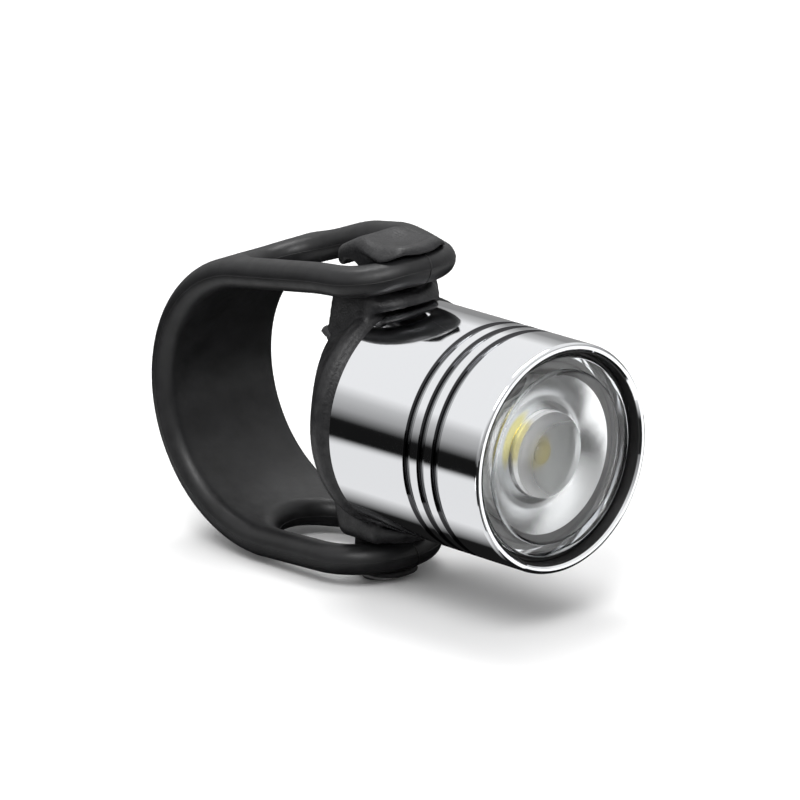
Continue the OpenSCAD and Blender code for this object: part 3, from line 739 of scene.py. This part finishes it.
def make_lens():
    """The push lens: a stepped face, and behind it a cone with a well whose bottom bulges towards the LED."""
    lens_y, step_y, step_r = LENS_FACE_Y, LENS_FACE_Y - LENS_STEP, LENS_R - 1.7
    flange_r, inner_r, flange_y, flange_rear_y = 14.2, 12.8, -43.1, -42.1
    window_r, window_y, window_rise = 5.7, -39.97, 2.6
    bend_r = (window_r ** 2 + window_rise ** 2) / (2 * window_rise)
    half = math.asin(window_r / bend_r)
    window = [(bend_r * math.sin(a), window_y - bend_r * (1 - math.cos(a)))
              for a in np.linspace(half, 0.0, 14)[:-1]]
    front = [(0.0, step_y), (step_r - 0.5, step_y), (step_r - 0.33, step_y + 0.03),
             (step_r - 0.15, step_y + 0.12), (step_r - 0.05, step_y + 0.25), (step_r, lens_y),
             (LENS_R - 0.25, lens_y), (LENS_R - 0.1, lens_y + 0.04), (LENS_R - 0.02, lens_y + 0.14),
             (LENS_R, lens_y + 0.25)]
    flange = [(LENS_R, flange_y), (flange_r, flange_y), (flange_r, flange_rear_y), (inner_r, flange_rear_y),
              (inner_r, LENS_REAR_Y)]
    cone = [(COLLIMATOR_R, LENS_REAR_Y), (COLLIMATOR_END_R, COLLIMATOR_END_Y)]
    lens = lathe("push_lens", front + flange + cone + window + [(0.0, window_y)], clear_lens(), 256)
    leg_r, leg_drop, leg_front_y, leg_rear_y, leg_gap = 1.0, 7.8, -42.51, -39.95, 0.03
    leg_outline = [(0.0, leg_front_y), (leg_r, leg_front_y), (leg_r, leg_rear_y), (0.0, leg_rear_y)]
    leg = lathe("push_lens_leg", leg_outline, lens.data.materials[0], 32)
    leg.data.transform(Matrix.Translation((0, 0, -leg_drop * MM)))
    # Its front is cut to the cone's line, a hair behind it, so that the mirror alone is seen from ahead.
    for vertex in leg.data.vertices:
        if vertex.co.y < LENS_REAR_Y * MM:
            radius = math.hypot(vertex.co.x, vertex.co.z) / MM
            share = (COLLIMATOR_R - radius) / (COLLIMATOR_R - COLLIMATOR_END_R)
            vertex.co.y = (LENS_REAR_Y + leg_gap + share * (COLLIMATOR_END_Y - LENS_REAR_Y)) * MM
    for piece in (lens, leg):
        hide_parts("lens_button")
        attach(piece, "lens")


# Studio

def shader_switch(tree, factor, first, second):
    return node(tree, "ShaderNodeMixShader", {0: factor, 1: first, 2: second}).outputs[0]


def stage_material(name):
    """An empty material with only its output node."""
    material = bpy.data.materials.new(name)
    material.use_nodes = True
    material.node_tree.nodes.clear()
    return material, material.node_tree, node(material.node_tree, "ShaderNodeOutputMaterial")


def make_floor(height):
    """A pale floor that is clear from beneath."""
    material, tree, output = stage_material("pale_floor")
    diffuse = node(tree, "ShaderNodeBsdfDiffuse", {"Color": (0.93, 0.93, 0.93, 1.0)}).outputs[0]
    clear = node(tree, "ShaderNodeBsdfTransparent").outputs[0]
    behind = node(tree, "ShaderNodeNewGeometry").outputs["Backfacing"]
    tree.links.new(shader_switch(tree, behind, diffuse, clear), output.inputs["Surface"])
    size = 2500.0
    floor = make_mesh("floor", [(-size, -size, height), (size, -size, height), (size, size, height),
                                (-size, size, height)], [(0, 1, 2, 3)], material, closed=False)


def make_card(name, points, faces, shade):
    """A glowing sheet that only mirrored or refracted rays see; shade gives its brightness."""
    material, tree, output = stage_material(name)
    light = node(tree, "ShaderNodeEmission", {"Color": shade(tree), "Strength": 1.0})
    tree.links.new(light.outputs[0], output.inputs["Surface"])
    piece = make_mesh(name, points, faces, material, closed=False)
    piece.visible_camera = False
    piece.visible_diffuse = False
    piece.visible_shadow = False
    piece.visible_volume_scatter = False


def make_reflector_wall(name, from_deg, to_deg, rings, shade):
    """A card curved round the lamp, through rings of radius and Z."""
    points = []
    turns = np.linspace(math.radians(from_deg), math.radians(to_deg), 60)
    for r, z in rings:
        points += [(r * math.cos(a), r * math.sin(a) + WALL_CENTRE_Y, z) for a in turns]
    count = len(turns)
    faces = [(s * count + k, s * count + k + 1, (s + 1) * count + k + 1, (s + 1) * count + k)
             for s in range(len(rings) - 1) for k in range(count - 1)]
    make_card(name, points, faces, shade)


def rear_shade(tree):
    """Pale close to the lamp, dark beyond it, then grey and pale up the wall; higher towards +X."""
    parts = place_parts(tree)
    up = math_node(tree, "SUBTRACT", parts["Z"], ease(tree, parts["X"], 0.0, 0.32, 0.0, 0.04))
    level = product(tree, math_node(tree, "ADD", up, 0.06), 2.0)
    wall = ramp(tree, level, [(0.0, 0.0), (0.10, 0.012), (0.25, 0.40), (0.40, 0.60), (0.55, 1.0)])
    radius = length(tree, parts["X"], math_node(tree, "ADD", parts["Y"], 0.030))
    near = ease(tree, radius, 0.080, 0.125, 0.92, 0.0)
    far_side = ease(tree, parts["X"], 0.02, 0.10, 0.0, 0.30)
    foot = math_node(tree, "MAXIMUM", near, far_side)
    return node(tree, "ShaderNodeMix", {"Factor": 1.0, "A": wall, "B": foot},
                data_type="RGBA", blend_type="LIGHTEN").outputs["Result"]


def front_shade(tree):
    """Grey at the foot, white above."""
    return ramp(tree, product(tree, place_parts(tree)["Z"], 2.0), [(0.0, 0.28), (0.3, 0.50), (0.7, 1.0)])


def near_shade(tree):
    """Bright at the -X end, dark from just short of the lamp's middle on."""
    across = math_node(tree, "MULTIPLY_ADD", place_parts(tree)["X"], 80.0, 1.62)
    return ramp(tree, across, [(0.1, 0.92), (0.85, 0.01)])


def left_shade(tree):
    """Bright beside the lamp, dark further out."""
    across = math_node(tree, "MULTIPLY_ADD", place_parts(tree)["X"], -40.0, -0.1)
    return ramp(tree, across, [(0.1, 0.85), (0.6, 0.02)])


def make_reflectors(height):
    """Walls and floor cards whose bands of light and dark the chrome shows."""
    low, near = height + 0.5, height + 0.8
    floor_ring, wall_foot, wall_top = (2.0, low), (WALL_R, low), (WALL_R, WALL_TOP_Z)
    make_reflector_wall("rear_reflector", -12, 192, [floor_ring, wall_foot, wall_top], rear_shade)
    make_card("near_reflector", [(-20, -60, near), (110, -60, near), (110, 80, near), (-20, 80, near),
                                 (-20, -14, near), (-70, -14, near), (-70, -60, near)],
              [(0, 1, 2, 3, 4), (0, 4, 5, 6)], near_shade)
    make_card("left_reflector", [(-WALL_R, -WALL_R, low), (-5, -WALL_R, low), (-5, -52, low),
                                 (-WALL_R, -52, low)], [(0, 1, 2, 3)], left_shade)
    make_reflector_wall("front_reflector", 192, 348, [wall_foot, wall_top], front_shade)


def area_light(name, place_mm, target_mm, size_mm, power):
    """A softbox at a place, turned to face a target."""
    data = bpy.data.lights.new(name, "AREA")
    data.shape = "RECTANGLE"
    data.size, data.size_y = size_mm[0] * MM, size_mm[1] * MM
    data.energy = power
    made = bpy.data.objects.new(name, data)
    made.location = Vector(place_mm) * MM
    made.rotation_euler = (Vector(target_mm) - Vector(place_mm)).to_track_quat("-Z", "Y").to_euler()
    bpy.context.scene.collection.objects.link(made)


def light_the_studio():
    """White where it is seen or mirrored, dimmer as a fill light, with two softboxes."""
    world = bpy.data.worlds.new("studio")
    world.use_nodes = True
    tree = world.node_tree
    tree.nodes.clear()
    path = node(tree, "ShaderNodeLightPath").outputs
    seen = math_node(tree, "MAXIMUM", path["Is Camera Ray"],
                     math_node(tree, "MAXIMUM", path["Is Glossy Ray"], path["Is Transmission Ray"]))
    fill = node(tree, "ShaderNodeBackground", {"Color": (1.0, 1.0, 1.0, 1.0), "Strength": 0.6}).outputs[0]
    white = node(tree, "ShaderNodeBackground", {"Color": (1.0, 1.0, 1.0, 1.0), "Strength": 1.0}).outputs[0]
    output = node(tree, "ShaderNodeOutputWorld")
    tree.links.new(shader_switch(tree, seen, fill, white), output.inputs["Surface"])
    bpy.context.scene.world = world
    area_light("key_softbox", (-420, -380, 620), (0, -20, 0), (420, 320), 4.2)
    area_light("top_softbox", (120, 160, 700), (0, -15, 0), (500, 300), 3.4)


def make_camera():
    """The photographed view: a long lens, with the lamp's front centre right of the middle and below it."""
    azimuth, elevation, roll = math.radians(-44.128), math.radians(18.39), math.radians(-0.978)
    focal_px, frame_px, distance = 7405.5, 800.0, 966.66
    centre_px = (562.558, 459.191)
    back = Vector((math.sin(azimuth) * math.cos(elevation), -math.cos(azimuth) * math.cos(elevation),
                   math.sin(elevation)))
    right = (-back).cross(Vector((0, 0, 1))).normalized()
    up = right.cross(-back)
    right, up = (math.cos(roll) * right + math.sin(roll) * up, math.cos(roll) * up - math.sin(roll) * right)
    place_mm = Vector((0, HEAD_FRONT_Y, 0)) + back * distance
    across, down = ((frame_px / 2 - at) / focal_px for at in centre_px)
    ahead = (-back + right * across - up * down).normalized()
    right = (right - ahead * right.dot(ahead)).normalized()
    up = right.cross(ahead)
    data = bpy.data.cameras.new("camera")
    data.sensor_width = 36.0
    data.lens = 36.0 * focal_px / frame_px
    data.clip_start, data.clip_end = 0.01, 50.0
    camera = bpy.data.objects.new("camera", data)
    turned = Matrix((right, up, -ahead)).transposed().to_4x4()
    camera.matrix_world = Matrix.Translation(place_mm * MM) @ turned
    bpy.context.scene.collection.objects.link(camera)
    bpy.context.scene.camera = camera


make_camera()
paint_the_cad()
make_base()
make_strap()
make_pad()
make_seals()
make_lens()
bpy.context.view_layer.update()
FLOOR_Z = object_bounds()[0].z / MM
make_floor(FLOOR_Z)
make_reflectors(FLOOR_Z)
light_the_studio()
bpy.context.scene.view_settings.view_transform = "Standard"
